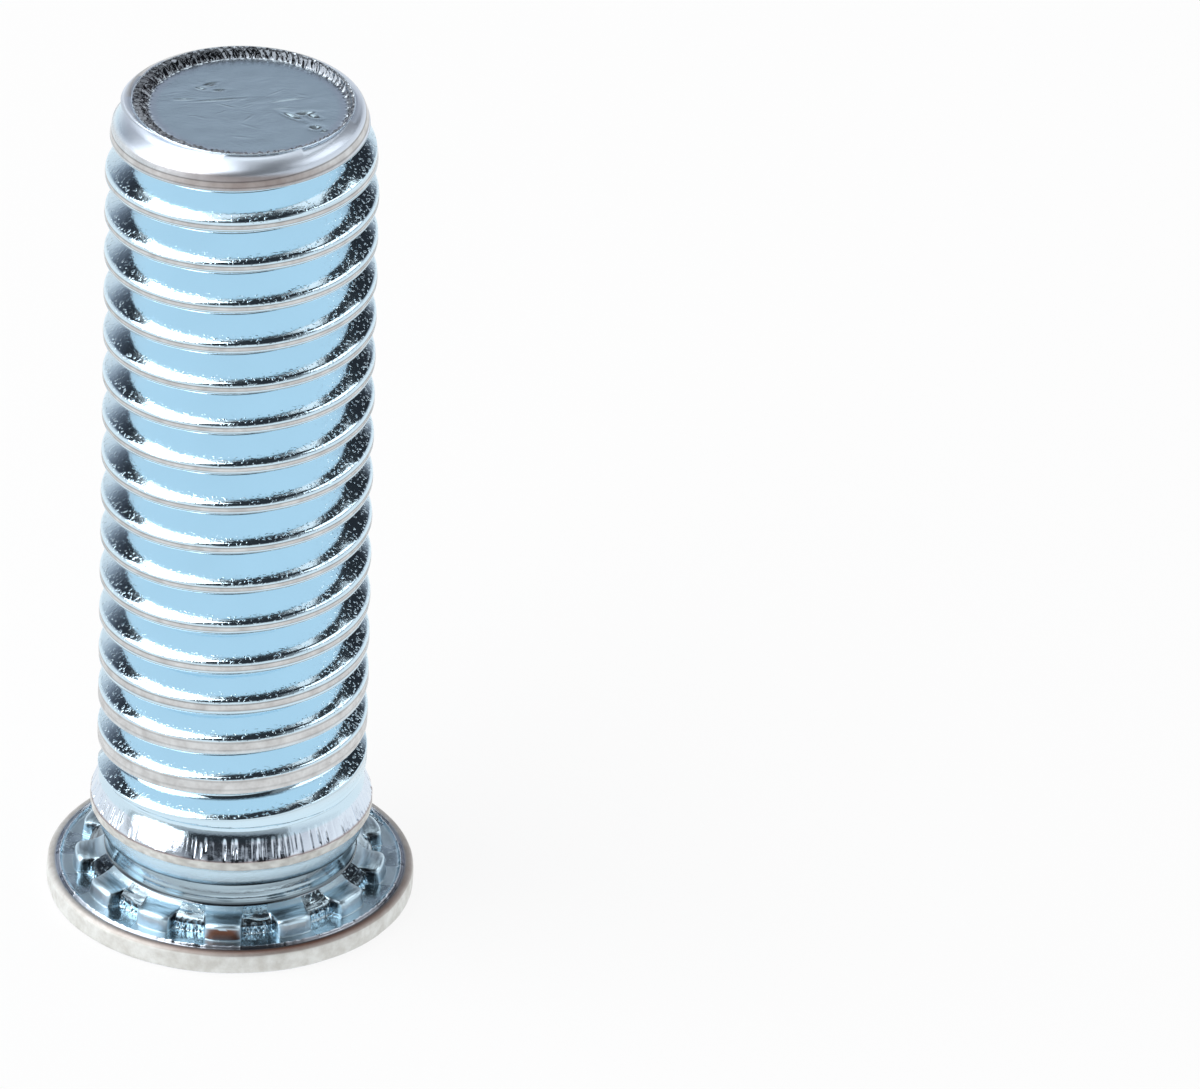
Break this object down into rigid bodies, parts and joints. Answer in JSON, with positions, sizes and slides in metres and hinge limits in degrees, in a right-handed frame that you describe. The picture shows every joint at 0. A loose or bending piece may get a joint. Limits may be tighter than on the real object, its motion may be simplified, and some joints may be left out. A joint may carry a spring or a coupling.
{
  "type": "self-clinching stud",
  "caption": "Flush-head self-clinching stud: thin round head with a ring of clinch ribs, undercut groove, sharp collar and a rolled metric thread.",
  "frame": {"origin": "centre of the head's flat face, which the stud stands on", "axes": "+Z along the shank from the head to the threaded tip; the stud is round about Z, apart from its helix and its ribs"},
  "size_m": [0.0082, 0.0082, 0.0197],
  "materials": {
    "zinc_plate": "bright zinc plate with a pale blue passivated film, grey and rubbed on the thread crests, the collar edge and the head's rim"
  },
  "bodies": {
    "root": {"clinch_stud": "zinc_plate"}
  },
  "joints": []
}
